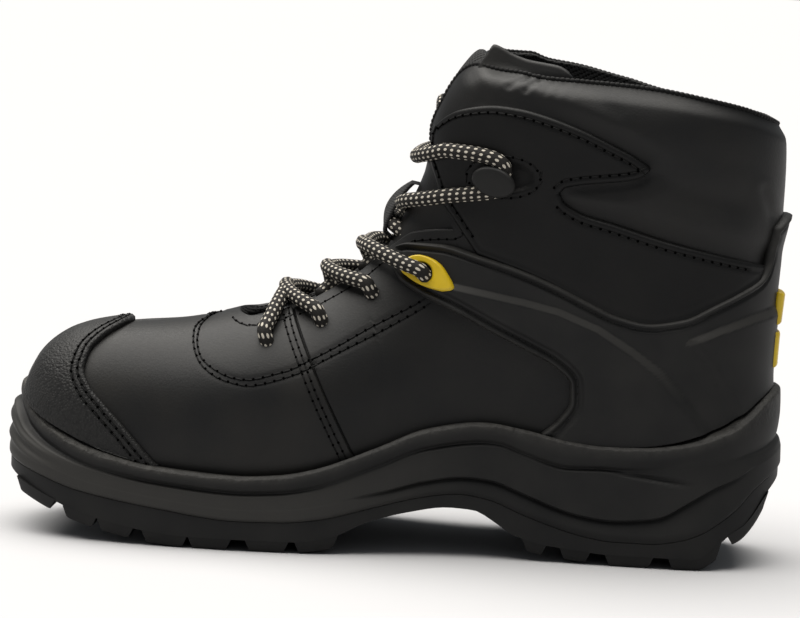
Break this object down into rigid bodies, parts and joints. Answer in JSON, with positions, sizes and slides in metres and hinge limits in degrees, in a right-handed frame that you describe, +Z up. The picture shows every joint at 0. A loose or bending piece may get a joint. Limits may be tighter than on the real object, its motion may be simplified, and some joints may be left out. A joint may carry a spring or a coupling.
{
  "type": "work boot",
  "caption": "Black ankle-height lace-up work boot with a padded collar, rubber toe bumper, moulded heel counter, cup sole with lugged tread and yellow trims.",
  "frame": {"origin": "on the floor under the middle of the sole's length and width", "axes": "+Z up, +X from toe to heel, -Y towards the medial side"},
  "size_m": [0.3036, 0.11, 0.197],
  "materials": {
    "leather": "matte smooth",
    "webbing": "woven",
    "sole_rubber": "matte moulded",
    "bumper_rubber": "pebbled",
    "counter_plastic": "matte",
    "hook_plastic": "satin",
    "yellow_plastic": "satin",
    "insole_cloth": "felted",
    "lace_cord": "braided"
  },
  "bodies": {
    "root": {"ankle_panel_lateral": "leather", "ankle_panel_medial": "leather", "eyelet_trim_lateral": "yellow_plastic", "eyelet_trim_medial": "yellow_plastic", "heel_block_lower": "yellow_plastic", "heel_block_upper": "yellow_plastic", "heel_counter": "counter_plastic", "insole": "insole_cloth", "lace_crossing_1": "lace_cord", "lace_crossing_2": "lace_cord", "lace_crossing_3": "lace_cord", "lace_crossing_4": "lace_cord", "lace_hook_lateral": "hook_plastic", "lace_hook_medial": "hook_plastic", "lace_top_bar": "lace_cord", "midsole": "sole_rubber", "outsole": "sole_rubber", "toe_bumper": "bumper_rubber", "tongue": "leather", "tongue_loop": "webbing", "upper": "leather"}
  },
  "joints": []
}
